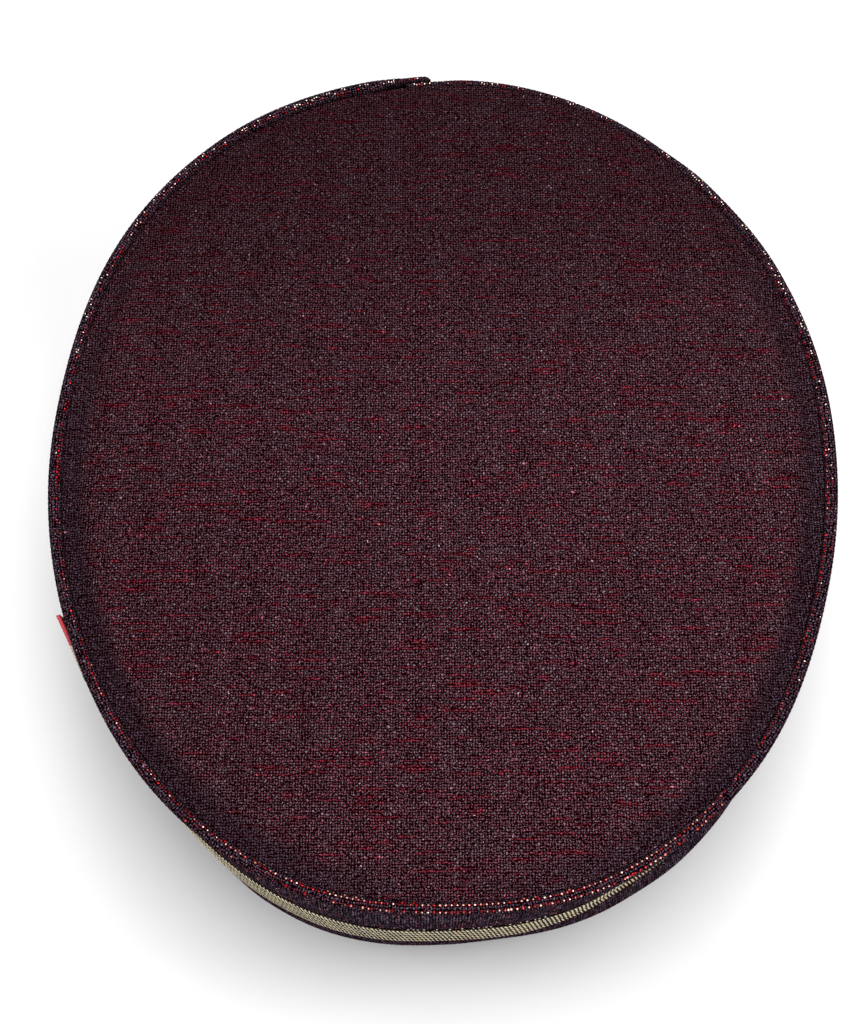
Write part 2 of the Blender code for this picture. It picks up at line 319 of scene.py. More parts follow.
def stretchedNoise(tree, x, y, scales, detail):  # its own scale each way, and the slice that it is cut at
    place = vectorOf(tree, timesOf(tree, x, scales[0]), timesOf(tree, y, scales[1]), scales[2])
    return noiseOf(tree, place, 1.0, detail)


def whiteOf(tree, x, y):  # a value and a colour drawn for each whole place
    inputs = {"Vector": vectorOf(tree, x, y)}
    return addNode(tree, "ShaderNodeTexWhiteNoise", inputs, noise_dimensions="2D").outputs


def vectorNode(tree, operation, inputs):
    return addNode(tree, "ShaderNodeVectorMath", inputs, operation=operation).outputs[0]


def nudgeVector(tree, vector, drawn, amount):  # moved by a drawn colour, up to half the amount each way
    moved = vectorNode(tree, "SUBTRACT", {0: drawn, 1: (0.5, 0.5, 0.5)})
    return vectorNode(tree, "ADD", {0: vector, 1: vectorNode(tree, "SCALE", {0: moved, 3: amount})})


def tipNormal(tree, normal, drawn, amount):  # each thread lies at its own small angle, so a few glint
    return vectorNode(tree, "NORMALIZE", {0: nudgeVector(tree, normal, drawn, amount)})


def bumpOf(tree, height, strength, distance):
    inputs = {"Strength": strength, "Distance": distance, "Height": height}
    return addNode(tree, "ShaderNodeBump", inputs).outputs[0]


def weaveMap(tree):  # counts a cloth's yarns or a braid's bars
    return addNode(tree, "ShaderNodeUVMap", {}, uv_map="Weave").outputs[0]


def partsOf(tree, vector):
    return addNode(tree, "ShaderNodeSeparateXYZ", {0: vector}).outputs


# the lurex cloth: a plain weave of dull warps and of wefts that carry red foil in uneven stretches
cloth = {
    "foil": (0.225, 0.010, 0.024, 1),
    "valleyShadeColour": (0.105, 0.082, 0.130, 1),   # mixed in as painted shade in the valley along the ridge
    "wander": 1.8,                 # how far, in yarns, the threads stray from a straight line
    "wanderScale": 0.95,
    "streak": (0.060, 3.7, 0.0),   # per yarn along a row: lower makes longer red streaks
    "streakRange": (0.36, 0.76),
    "dip": 0.08,                   # how softly one yarn dips under the next
    "float": (0.60, 0.70),         # how strong a streak is where its weft begins to float, and floats
    "weftRound": (0.6, 1.4),       # how soon a yarn falls off along the row and up the column
    "warpRound": (2.0, 1.0),
    "chance": 0.06,                # how much redder or duller one crossing is than the next
    "warpChance": 0.8,             # the warps' share of that
    "climb": (3.1, 0.16, 7.0),     # the same as streak, for red up a column
    "climbRange": (0.50, 0.80),
    "patch": (0.022, 0.06, 3.0),
    "patchRange": (0.30, 0.72),
    "streakRed": 0.70,
    "patchRed": 0.14,
    "climbRed": 0.50,
    "valleyShadeRed": -0.42,
    "valleyShadeBlue": 0.5,
    "valleyShadeDark": -0.26,
    "backRows": (10.0, 150.0),     # rows over which painted shade dims the crown towards the back
    # painted shade: how much less red the crown turns towards the back
    "backRed": -0.12,
    "sideYarns": (-130.0, 40.0),   # yarns over which painted shade at the left fades out
    "sideLight": 0.84,
    "light": (0.85, 0.14, 1.5),    # the dullest crossing, how much brighter the brightest is, and how few are
    # painted glints: the rarest crossings are painted brighter, by glintLight
    "glints": (0.9955, 0.9965),
    "glintLight": 2.0,
    "fuzz": 1.7,
    "fuzzRange": (0.34, 0.64),
    "fuzzLight": (0.56, 1.24),
    "comb": (0.80, 0.07, 11.0),
    "combRange": (0.42, 0.62),
    "combLight": (0.88, 2.0),
    "gapRange": (0.80, 0.34),      # how low the yarn's shape is where the gap's colour begins and is whole
    "roughness": (0.50, 0.34),
    "bump": (0.7, 0.00016),
    "fuzzBump": 0.25,
    "tilt": 0.07,
}
# each cloth: its warps, its wefts and the gaps between them, how much more red foil it shows, how metallic
# it is, how much of its brightness painted shade leaves at the back, and how far its warps differ from one
# another up the wall
# painted light: the three are one lurex cloth coloured apart for how each face takes the light; the wall's and
# the ridge's are greyer, bluer and less red than the crown's
cloths = {
    "crownLurex": {
        "warp": (0.170, 0.122, 0.150, 1), "weft": (0.126, 0.056, 0.074, 1), "gap": (0.0068, 0.0003, 0.0010, 1),
        "redness": -0.02, "metal": 0.60, "backShade": 0.60, "comb": 0.0,
    },
    "wallLurex": {
        "warp": (0.225, 0.180, 0.240, 1), "weft": (0.088, 0.054, 0.082, 1), "gap": (0.0020, 0.0003, 0.0010, 1),
        "redness": -0.27, "metal": 0.0, "backShade": 1.0, "comb": 0.5,
    },
    "ridgeLurex": {
        "warp": (0.140, 0.108, 0.150, 1), "weft": (0.085, 0.038, 0.056, 1), "gap": (0.0020, 0.0003, 0.0010, 1),
        "redness": -0.20, "metal": 0.0, "backShade": 1.0, "comb": 0.0,
    },
}


def makeCloth(name):
    look = cloths[name]
    material, tree, shader = newMaterial(name)
    counted = weaveMap(tree)
    inputs = {"Vector": counted, "Scale": cloth["wanderScale"], "Detail": 1.0}
    drawn = addNode(tree, "ShaderNodeTexNoise", inputs).outputs[1]
    strayed = nudgeVector(tree, counted, drawn, cloth["wander"])
    across, up = partsOf(tree, strayed)[:2]
    column = mathNode(tree, "ROUND", across)
    row = mathNode(tree, "ROUND", up)
    waveAcross = mathNode(tree, "COSINE", timesOf(tree, across, math.pi))
    waveUp = mathNode(tree, "COSINE", timesOf(tree, up, math.pi))
    # red foil shows along the rows in long uneven stretches
    streak = stretchedNoise(tree, across, row, cloth["streak"], 3.0)
    streak = rangeNode(tree, streak, *cloth["streakRange"])
    # a weft lies over every other warp, and where its streak is strong it floats over them all
    weftOver = rangeNode(tree, timesOf(tree, waveAcross, waveUp), -cloth["dip"], cloth["dip"])
    floats = rangeNode(tree, mathNode(tree, "ADD", streak, look["redness"]), *cloth["float"])
    weftOver = mathNode(tree, "MAXIMUM", weftOver, floats)
    wide = mathNode(tree, "ABSOLUTE", waveAcross)
    tall = mathNode(tree, "ABSOLUTE", waveUp)
    # the upper yarn is long one way and round the other, and 0 in the gap beside it
    weftShape, warpShape = (
        timesOf(tree, mathNode(tree, "POWER", wide, rowPower), mathNode(tree, "POWER", tall, columnPower))
        for rowPower, columnPower in (cloth["weftRound"], cloth["warpRound"])
    )
    shape = between(tree, weftOver, warpShape, weftShape)
    dice = whiteOf(tree, column, row)
    chance = rangeNode(tree, dice[0], 0.0, 1.0, (-cloth["chance"], cloth["chance"]), "LINEAR")
    # here and there the red runs up a column, and it lies thicker in some patches
    climb = rangeNode(tree, stretchedNoise(tree, column, up, cloth["climb"], 2.0), *cloth["climbRange"])
    patch = rangeNode(tree, stretchedNoise(tree, across, up, cloth["patch"], 2.0), *cloth["patchRange"])
    # painted shade in the valley along the ridge: hardly any red shows there, and the cloth is bluer and darker
    valleyShade = addNode(tree, "ShaderNodeAttribute", {}, attribute_name="ValleyShade").outputs["Fac"]
    redness = mathNode(tree, "MULTIPLY_ADD", valleyShade, cloth["valleyShadeRed"], look["redness"])
    # painted shade: the crown turns less red towards the back
    if look["backShade"] < 1:
        backRed = rangeNode(tree, up, *cloth["backRows"], (0.0, cloth["backRed"]))
        redness = mathNode(tree, "ADD", redness, backRed)
    patchRed = timesOf(tree, patch, cloth["patchRed"])
    weftRed = mathNode(tree, "MULTIPLY_ADD", streak, cloth["streakRed"], patchRed)
    weftRed = mathNode(tree, "ADD", mathNode(tree, "ADD", weftRed, chance), redness, clamp=True)
    warpRed = timesOf(tree, chance, cloth["warpChance"])
    warpRed = mathNode(tree, "MULTIPLY_ADD", climb, cloth["climbRed"], warpRed)
    warpRed = mathNode(tree, "ADD", warpRed, redness, clamp=True)
    weft = mixColour(tree, weftRed, look["weft"], cloth["foil"])
    warp = mixColour(tree, warpRed, look["warp"], cloth["foil"])
    colour = mixColour(tree, weftOver, warp, weft)
    # painted shade: bluer in the valley along the ridge
    colour = mixColour(tree, timesOf(tree, valleyShade, cloth["valleyShadeBlue"]), colour, cloth["valleyShadeColour"])
    # crossings differ a little in how they lie and in tone, and a few are painted brighter as painted glints
    parts = partsOf(tree, dice[1])
    dullest, spread, power = cloth["light"]
    fuzz = noiseOf(tree, counted, cloth["fuzz"])
    lit = mathNode(tree, "MULTIPLY_ADD", mathNode(tree, "POWER", parts[0], power), spread, dullest)
    lit = mathNode(tree, "ADD", lit, rangeNode(tree, parts[1], *cloth["glints"], (0.0, cloth["glintLight"])))
    lit = timesOf(tree, lit, rangeNode(tree, fuzz, *cloth["fuzzRange"], cloth["fuzzLight"]))
    # painted shade: darker in the valley along the ridge
    lit = timesOf(tree, lit, mathNode(tree, "MULTIPLY_ADD", valleyShade, cloth["valleyShadeDark"], 1.0))
    # painted shade: the crown dims towards the back and towards the left
    if look["backShade"] < 1:
        lit = timesOf(tree, lit, rangeNode(tree, up, *cloth["backRows"], (1.0, look["backShade"])))
        lit = timesOf(tree, lit, rangeNode(tree, across, *cloth["sideYarns"], (cloth["sideLight"], 1.0)))
    if look["comb"]:
        uneven = stretchedNoise(tree, across, up, cloth["comb"], 2.0)
        less, more = cloth["combLight"]
        limits = (1 - less * look["comb"], 1 + more * look["comb"])
        lit = timesOf(tree, lit, rangeNode(tree, uneven, *cloth["combRange"], limits))
    colour = vectorNode(tree, "SCALE", {0: colour, 3: lit})
    gap = rangeNode(tree, shape, *cloth["gapRange"])
    colour = mixColour(tree, gap, colour, look["gap"])
    tree.links.new(colour, shader.inputs["Base Color"])
    red = between(tree, weftOver, warpRed, weftRed)
    bare = mathNode(tree, "SUBTRACT", 1.0, gap)
    tree.links.new(timesOf(tree, bare, look["metal"]), shader.inputs["Metallic"])
    tree.links.new(rangeNode(tree, red, 0.0, 1.0, cloth["roughness"], "LINEAR"), shader.inputs["Roughness"])
    shader.inputs["Specular IOR Level"].default_value = 0.0
    height = mathNode(tree, "ADD", shape, timesOf(tree, fuzz, cloth["fuzzBump"]))
    bump = bumpOf(tree, height, *cloth["bump"])
    tree.links.new(tipNormal(tree, bump, dice[1], cloth["tilt"]), shader.inputs["Normal"])
    return material


crownLurex = makeCloth("crownLurex")
wallLurex = makeCloth("wallLurex")
ridgeLurex = makeCloth("ridgeLurex")
print("cloth materials made")

# top panel
crown = {
    "sink": 0.0012,
    "thick": 0.0016,
    "dome": 0.0008,
    "dent": 0.0006,
    "valley": 0.0070,
    "inset": 0.0004,
    "turnUp": (0.0013, 0.0022),   # how far its edge rises to the ridge, and over what width
    "valleyShade": (0.0020, 0.0068),   # the strip along the ridge that takes painted shade: where all of it is shaded, and where it ends
    "rings": (0.97, 0.90, 0.72, 0.45, 0.16),
    "pitchAcross": 0.000612,   # from one yarn to the next at the middle
    "pitchUp": 0.000590,
    "drawAcross": 0.00026,     # the cloth is a little denser at the back than at the front
    "drawUp": 0.00022,
    "spare": 8,                # yarns past its edge, which are cut away
    "edgeReach": 0.9985,       # crossings beyond this are set on its edge
    "calm": 60,                # its relief fades out over one part in this many
    "shadeValley": (0.40, 0.30),   # the valley's depth where the painted shade begins, and how much more makes it whole
    "turnValley": (0.30, 0.30),    # the same for the turned up edge
    "weld": 2e-5,
    "sparse": (0.95, 0.0012),  # its back has fewer points inside this reach, no closer than this
}
# turn, depth of the valley along the ridge
valleyRows = [
    (0, 0.65), (30, 0.50), (52, 0.32), (88, 0.30), (96, 0.34), (130, 0.38), (155, 0.5), (180, 0.65),
    (215, 0.8), (240, 0.7), (270, 0.45), (300, 0.6), (330, 0.75),
]
# turn, reach, spread, depth
dents = [
    (50, 0.45, 0.30, 0.7), (150, 0.55, 0.26, -0.8), (235, 0.50, 0.28, 0.8),
    (300, 0.60, 0.24, -0.6), (200, 0.10, 0.22, 0.5),
]

edgeTurns = fineTurns[::2]
edgeSpots = [ovalSpot(turn, -crown["inset"], 0) for turn in edgeTurns]
edgeAngles = [math.degrees(math.atan2(spot.y, spot.x)) % 360 for spot in edgeSpots]
edgeAngles[-1] = 360.0
valleys = [readRound(valleyRows, 1, turn) for turn in edgeTurns]


def panelSpot(x, y):  # reach, turn, valley depth and edge of the panel in that direction
    low, share = findStep(edgeAngles, math.degrees(math.atan2(y, x)) % 360)
    edge = edgeSpots[low].lerp(edgeSpots[low + 1], share)
    turn = edgeTurns[low] + share * (edgeTurns[low + 1] - edgeTurns[low])
    valley = valleys[low] * (1 - share) + valleys[low + 1] * share
    return math.hypot(x, y) / edge.length, turn, valley, edge


def valleyShare(valley, limits):
    return smooth((valley - limits[0]) / limits[1])


def panelLevel(reach, turn, valley):  # the middle of the panel's thickness
    near = max(0.0, 1 - (1 - reach) * form["width"] / 2 / crown["valley"])
    level = form["height"] - crown["sink"] - crown["thick"] / 2 + crown["dome"] * (1 - reach * reach)
    level -= form["ridgeHeight"] * valley * smooth(near)
    rise, reachOut = crown["turnUp"]
    rise *= valleyShare(valley, crown["turnValley"])
    level += rise * smooth(1 - (1 - reach) * form["width"] / 2 / reachOut)
    for dentTurn, dentReach, spread, depth in dents:
        angle = math.radians(turn - dentTurn)
        apart = reach * reach + dentReach * dentReach - 2 * reach * dentReach * math.cos(angle)
        level -= crown["dent"] * depth * math.exp(-apart / spread ** 2)
    return level


def crossingSpot(column, row):
    return (column * crown["pitchAcross"] * (1 - crown["drawAcross"] * row),
            row * crown["pitchUp"] * (1 - crown["drawUp"] * row))


def crossingCount(x, y):  # the other way: yarns counted from a place
    row = (1 - math.sqrt(1 - 4 * crown["drawUp"] * y / crown["pitchUp"])) / (2 * crown["drawUp"])
    return x / (crown["pitchAcross"] * (1 - crown["drawAcross"] * row)), row


def buildCrown():
    dice = random.Random(yarn["seed"])
    halfAcross = math.ceil(max(spot.x for spot in edgeSpots) / crown["pitchAcross"]) + crown["spare"]
    halfUp = math.ceil(max(abs(spot.y) for spot in edgeSpots) / crown["pitchUp"]) + crown["spare"]
    panel = bmesh.new()
    bmesh.ops.create_grid(panel, x_segments=2 * halfAcross, y_segments=2 * halfUp, size=0.5)
    outside = set()
    # painted shade: a strip along the ridge's valley is marked to be painted darker, bluer and less red
    valleyShade = panel.verts.layers.float.new("ValleyShade")
    whole, ends = crown["valleyShade"]
    for vert in panel.verts:
        column = round(vert.co.x * 2 * halfAcross)
        row = round(vert.co.y * 2 * halfUp)
        x, y = crossingSpot(column, row)
        reach, turn, valley, edge = panelSpot(x, y)
        if reach > crown["edgeReach"]:
            outside.add(vert)
            x, y, reach = edge.x, edge.y, 1.0
        level = panelLevel(reach, turn, valley) + crown["thick"] / 2
        level += relief(column, row, dice) * smooth((1 - reach) * crown["calm"])
        inward = (1 - reach) * form["width"] / 2
        vert[valleyShade] = smooth((ends - inward) / (ends - whole)) * valleyShare(valley, crown["shadeValley"])
        vert.co = (x, y, level)
    far = [face for face in panel.faces if all(vert in outside for vert in face.verts)]
    bmesh.ops.delete(panel, geom=far, context="FACES")
    loose = [vert for vert in panel.verts if not vert.link_faces]
    bmesh.ops.delete(panel, geom=loose, context="VERTS")
    bmesh.ops.remove_doubles(panel, verts=panel.verts, dist=crown["weld"])
    # its edge turns down and the back is drawn in ring by ring
    for reachTo in (1.0, *crown["rings"]):
        border = [edge for edge in panel.edges if edge.is_boundary]
        made = bmesh.ops.extrude_edge_only(panel, edges=border)["geom"]
        for vert in (part for part in made if isinstance(part, bmesh.types.BMVert)):
            reach, turn, valley, edge = panelSpot(vert.co.x, vert.co.y)
            spot = edge * reachTo
            vert.co = (spot.x, spot.y, panelLevel(reachTo, turn, valley) - crown["thick"] / 2)
        if reachTo < crown["sparse"][0]:
            inner = list({vert for edge in panel.edges if edge.is_boundary for vert in edge.verts})
            bmesh.ops.remove_doubles(panel, verts=inner, dist=crown["sparse"][1])
    bmesh.ops.holes_fill(panel, edges=[edge for edge in panel.edges if edge.is_boundary], sides=0)
    bmesh.ops.recalc_face_normals(panel, faces=panel.faces)
    layer = panel.loops.layers.uv.new("Weave")
    for face in panel.faces:
        face.smooth = True
        for loop in face.loops:
            loop[layer].uv = crossingCount(loop.vert.co.x, loop.vert.co.y)
    return finishPiece("crown_cloth", panel)


crownCloth = buildCrown()
crownCloth.data.materials.append(crownLurex)
print(f"crown cloth: {len(crownCloth.data.polygons)} faces")

# side wall
wall = {
    "foot": 0.0010,     # the hem's ply passes under its foot, and a gap lies between them
    "hidden": 0.0008,   # how far its yarns run down behind the braid
    "coarse": (0.0060, 0.0110, 0.0200, 0.0300),   # levels behind the hem and the braid, where no yarn shows
    "insideRows": 13,
}


def buildWall():
    low = form["gap"] + wall["foot"]
    covered = form["braidTop"] - wall["hidden"]
    rows = round((form["wallTop"] - covered) / yarn["up"]) + 1
    outline = [(form["wall"], low, 0.0)]
    outline += [(form["wall"], level, 0.0) for level in wall["coarse"]]
    outline += [(form["wall"], level, 1.0) for level in steps(covered, form["wallTop"], rows)]
    outline[-1] = (form["wall"], form["wallTop"], 0.0)
    outline += [(0.0, level, 0.0) for level in steps(form["wallTop"], low, wall["insideRows"])]
    return sweepCloth("wall_cloth", outline + outline[:1], yarn["seed"] + 1)


wallCloth = buildWall()
wallCloth.data.materials.append(wallLurex)
print(f"wall cloth: {len(wallCloth.data.polygons)} faces")

# hem
hem = {
    "ply": 0.0010,
    "ease": 0.0008,     # how round its lower edge is
    "easeStep": 0.3,    # where on that round edge one more point lies, and how much relief it has
    "chamfer": 0.0003,  # along its upper edge
    "insideRows": 7,
}


def buildHem():
    slotOut = form["wall"] + form["gap"]
    slotIn = -form["gap"]
    out, inside = slotOut + hem["ply"], slotIn - hem["ply"]
    rows = round((form["hemHeight"] - hem["ease"]) / yarn["up"]) + 1
    part = hem["easeStep"]
    outline = [(out - hem["ease"], 0.0, 0.0), (out - part * hem["ease"], part * hem["ease"], part)]
    outline += [(out, level, 1.0) for level in steps(hem["ease"], form["hemHeight"] - hem["chamfer"], rows)]
    outline += [(out - hem["chamfer"], form["hemHeight"], 0.0), (slotOut, form["hemHeight"], 0.0)]
    outline += [(slotOut, hem["ply"], 0.0), (slotIn, hem["ply"], 0.0), (slotIn, form["hemHeight"], 0.0)]
    outline += [(inside, level, 0.0) for level in steps(form["hemHeight"], hem["ease"], hem["insideRows"])]
    outline += [(inside + hem["ease"], 0.0, 0.0)]
    return sweepCloth("hem_cloth", outline + outline[:1], yarn["seed"] + 2)


hemCloth = buildHem()
hemCloth.data.materials.append(wallLurex)
print(f"hem cloth: {len(hemCloth.data.polygons)} faces")

# ridge: a folded edge with a narrow slit up its middle
ridge = {
    "overhang": 0.0006,
    "inset": 0.0003,
    "lap": 0.0060,
    "lapTurn": 93.5,
    "lapShare": 0.25,
    "endReach": 0.0022,   # its lapped end is rounded off over this length
    "endSize": 0.25,      # and this large at its tip
    "sideRows": 4,
    "arcRows": 6,
    "slitRows": 4,
    "ply": 0.42,       # of the ridge's thickness
    "relief": 0.8,     # against the flat cloth's
}
ridge["width"] = form["wall"] + ridge["overhang"]
# along, lapped, outer, root, height
ridgeRows = [
    (0.000, 0.9, 0.70, 0.80, 0.58), (0.006, 0.6, 0.77, 0.84, 0.70), (0.014, 0.0, 0.84, 0.84, 0.85),
    (0.10, 0.0, 0.84, 0.84, 0.85),
    (0.18, 0.0, 0.90, 0.88, 0.95), (0.25, 0.0, 1.00, 0.92, 1.00), (0.50, 0.0, 1.02, 0.94, 0.95),
    (0.65, 0.0, 1.00, 0.94, 1.00), (0.75, 0.0, 1.00, 0.92, 1.00), (0.83, 0.0, 0.88, 0.85, 0.85),
    (0.875, 0.0, 0.62, 0.84, 0.60), (0.90, 0.0, 0.42, 0.84, 0.42), (0.984, 0.0, 0.37, 0.84, 0.38),
    (1.000, 0.0, 0.25, 0.25, 0.35),
]


def ridgeOutline(along, end):  # outer face from its root, over the crest, down the inner face and up the slit
    clear = ridge["inset"] + ridge["lapShare"] * ridge["width"] + form["gap"]
    inner = clear * readAlong(ridgeRows, 1, along) - ridge["inset"]
    outer = inner + (ridge["width"] * readAlong(ridgeRows, 2, along) - inner) * (0.5 + 0.5 * end)
    root = ridge["width"] * readAlong(ridgeRows, 3, along)
    crest = form["ridgeBase"] + form["ridgeRoot"] + form["ridgeHeight"] * readAlong(ridgeRows, 4, along) * end
    base = form["ridgeBase"]
    half = (outer - inner) / 2
    shoulder = crest - half
    points = [(root + (outer - root) * share, base + (shoulder - base) * share)
              for share in steps(0, 1, ridge["sideRows"])[:-1]]
    for step in range(ridge["arcRows"] + 1):
        angle = math.pi * step / ridge["arcRows"]
        points.append((inner + half + half * math.cos(angle), shoulder + half * math.sin(angle)))
    points += [(inner, shoulder + (base - shoulder) * share) for share in steps(0, 1, ridge["sideRows"])[1:]]
    ply = ridge["ply"] * 2 * half
    slit = half - ply
    points += [(inner + ply, base + (shoulder - base) * share) for share in steps(0, 1, ridge["slitRows"])]
    points.append((inner + half, shoulder + slit))
    left = root - ply
    points += [(left + (outer - ply - left) * share, base + (shoulder - base) * share)
               for share in steps(1, 0, ridge["slitRows"])]
    return points + points[:1]


def ridgeStations():
    start = paceAt(ridge["lapTurn"]) - ridge["lap"] / 2
    count = yarn["round"] + round(ridge["lap"] / (girth / yarn["round"]))
    stations = []
    for step in range(count + 1):
        pace = start + (girth + ridge["lap"]) * step / count
        along = min(1.0, max(0.0, (pace - start - ridge["lap"]) / (girth - ridge["lap"])))
        left = min(1.0, (pace - start) / ridge["endReach"])
        end = ridge["endSize"] + (1 - ridge["endSize"]) * math.sqrt(left * (2 - left))
        stations.append((turnAt(pace), along, end))
    return stations


ridgeStops = ridgeStations()
ridgeOutlines = [ridgeOutline(*stop[1:]) for stop in ridgeStops]
ridgeShown = 2 * ridge["sideRows"] - 2 + ridge["arcRows"]   # rows after this one are in the slit


def ridgeSpot(station, row, lift):
    points = ridgeOutlines[station]
    normal = acrossOf(points, row)
    out, level = points[row]
    return ovalSpot(ridgeStops[station][0], out + lift * normal[0], level + lift * normal[1])


def ridgeBetween(station, row, lift):  # the same for a place between two rows
    whole = math.floor(row)
    return ridgeSpot(station, whole, lift).lerp(ridgeSpot(station, whole + 1, lift), row - whole)


def buildRidge():
    dice = random.Random(yarn["seed"] + 3)

    def place(station, row):
        raised = ridge["relief"] if 0 < row < ridgeShown else 0.0
        return ridgeSpot(station, row, relief(station, row, dice) * raised)

    return bendCloth("ridge_cloth", len(ridgeStops), len(ridgeOutlines[0]), place,
                     lambda station, row: (station, row))


ridgeCloth = buildRidge()
ridgeCloth.data.materials.append(ridgeLurex)
print(f"ridge cloth: {len(ridgeCloth.data.polygons)} faces")

# foil beads: the red lurex stands out in loops along the ridge's inner shoulder
beads = {
    "half": (0.00040, 0.00036, 0.00015),  # along the ridge, across it, standing up
    "crestRow": ridge["sideRows"] - 1 + ridge["arcRows"] / 2,
    "zigzag": 0.8,      # rows between one loop and the next
    "outerRows": 2.0,   # rows from the shoulder's loops to the outer ones
    "lean": 0.22,
    "stand": 0.00006,   # how far they stand off the ridge
    "sparkle": 0.52,    # how large a small bright one is
    # how strong the painted highlight is on a small bright one's top
    "sparkleHighlight": 1.6,
    "sparkleRows": (-1.2, 0.9),   # how far a bright one lies from the crest
    # spread of the painted highlight on the other loops' tops
    "highlight": (0.6, 1.0),
    "seed": 21,
}
sizeSpread = (0.8, 1.1)   # of every small thread
probe = 0.001             # metres looked outward to find which way a surface faces
# turn, rows inside the crest, how often a loop shows there, how often outside it, how large they are, how
# strong the painted highlight on their tops is, how often one shows on the odd stations, and how often a small
# bright one sits on the crest
beadRows = [
    (0, 1.6, 0.85, 0.03, 0.95, 0.9, 0.10, 0.15), (25, 1.5, 0.60, 0.0, 0.80, 0.8, 0.1, 0.45),
    (45, 1.4, 0.30, 0.0, 0.60, 0.8, 0.2, 0.45), (58, 0.2, 0.35, 0.0, 0.5, 1.0, 0.3, 0.15),
    (88, 0.2, 0.65, 0.0, 0.55, 1.0, 0.4, 0.1), (97, 1.0, 0.60, 0.0, 0.65, 0.9, 0.3, 0.45),
    (140, 1.0, 0.50, 0.0, 0.7, 0.9, 0.3, 0.35), (175, 1.0, 0.60, 0.0, 0.80, 0.8, 0.5, 0.05),
    (205, 1.0, 0.65, 0.02, 0.85, 0.9, 0.5, 0.0), (225, 0.9, 0.80, 0.03, 0.85, 0.9, 0.5, 0.0),
    (245, 0.9, 0.95, 0.05, 0.95, 1.0, 0.35, 0.0), (258, 0.9, 1.0, 0.50, 1.0, 1.0, 0.2, 0.0),
    (275, 0.9, 1.0, 0.85, 1.0, 1.1, 0.08, 0.0), (300, 0.9, 1.0, 0.85, 1.0, 1.1, 0.06, 0.0),
    (309, 1.0, 1.0, 0.50, 1.0, 1.0, 0.06, 0.0), (313, 1.3, 0.9, 0.0, 0.95, 0.9, 0.08, 0.0),
    (335, 1.6, 0.9, 0.02, 0.95, 0.9, 0.08, 0.05),
]
batchSize = 24   # shapes are made a few at a time, which is much quicker


def stampShapes(name, spots, sides, rings):  # small rounded threads, each turned to its own spot
    shapes = bmesh.new()
    for first in range(0, len(spots), batchSize):
        batch = bmesh.new()
        paintedHighlight = batch.verts.layers.float.new("PaintedHighlight")
        for place, alongAxis, upAxis, half, highlight in spots[first:first + batchSize]:
            made = bmesh.ops.create_uvsphere(batch, u_segments=sides, v_segments=rings, radius=1.0)["verts"]
            sideAxis = alongAxis.cross(upAxis).normalized()
            trueUp = sideAxis.cross(alongAxis).normalized()
            for vert in made:
                # painted highlight: the top of each shape is marked for a painted highlight
                vert[paintedHighlight] = max(0.0, vert.co.z) * highlight
                vert.co = (place + alongAxis * vert.co.x * half[0] + sideAxis * vert.co.y * half[1]
                           + trueUp * vert.co.z * half[2])
        bmesh.ops.recalc_face_normals(batch, faces=batch.faces)
        for face in batch.faces:
            face.smooth = True
        mesh = bpy.data.meshes.new("batch")
        batch.to_mesh(mesh)
        batch.free()
        shapes.from_mesh(mesh)
        bpy.data.meshes.remove(mesh)
    return finishPiece(name, shapes)


def leaned(axis, amount, dice):
    return (axis + Vector([dice.uniform(-amount, amount) for step in range(3)])).normalized()


def beadSpots():
    dice = random.Random(beads["seed"])
    spots = []
    for station in range(2, len(ridgeStops) - 2):
        turn = ridgeStops[station][0] % 360
        size = readRound(beadRows, 4, turn)
        row = beads["crestRow"] + readRound(beadRows, 1, turn)
        odd = station % 2
        crest = beads["crestRow"] + dice.uniform(*beads["sparkleRows"])
        for column, place in ((2, row + odd * beads["zigzag"]), (3, row - beads["outerRows"]), (7, crest)):
            bright = column == 7
            share = readRound(beadRows, column, turn)
            share *= readRound(beadRows, 6, turn) if odd and not bright else 1.0
            if dice.random() > share:
                continue
            here = ridgeBetween(station, place, beads["stand"])
            along = (ridgeBetween(station + 1, place, 0) - ridgeBetween(station - 1, place, 0)).normalized()
            up = (ridgeBetween(station, place, probe) - ridgeBetween(station, place, 0)).normalized()
            shrink = beads["sparkle"] if bright else size
            half = [part * shrink * dice.uniform(*sizeSpread) for part in beads["half"]]
            highlight = beads["sparkleHighlight"]
            if not bright:
                highlight = dice.uniform(*beads["highlight"]) * readRound(beadRows, 5, turn)
            spots.append((here, along, leaned(up, beads["lean"], dice), half, highlight))
    return spots


foil = {
    "deep": (0.12, 0.001, 0.003, 1),
    "red": (0.45, 0.005, 0.009, 1),
    "highlightColour": (1.0, 0.80, 0.66, 1),    # painted highlight on the top of each loop
    "patches": 900.0,
    "patchRange": (0.35, 0.65),
    "paintedHighlight": (0.64, 0.88),
    "roughness": (0.34, 0.22),
    "roughRange": (0.3, 0.7),
    "metal": 0.80,
}


def objectNoise(tree, scale, detail=1.0):
    return noiseOf(tree, addNode(tree, "ShaderNodeTexCoord", {}).outputs["Object"], scale, detail)


def makeFoil():
    material, tree, shader = newMaterial("redFoil")
    patches = objectNoise(tree, foil["patches"])
    colour = mixColour(tree, rangeNode(tree, patches, *foil["patchRange"]), foil["deep"], foil["red"])
    # painted highlight: the tops of the loops are painted near white
    paintedHighlight = addNode(tree, "ShaderNodeAttribute", {}, attribute_name="PaintedHighlight").outputs["Fac"]
    colour = mixColour(tree, rangeNode(tree, paintedHighlight, *foil["paintedHighlight"]), colour, foil["highlightColour"])
    tree.links.new(colour, shader.inputs["Base Color"])
    rough = rangeNode(tree, patches, *foil["roughRange"], foil["roughness"])
    tree.links.new(rough, shader.inputs["Roughness"])
    shader.inputs["Metallic"].default_value = foil["metal"]
    return material


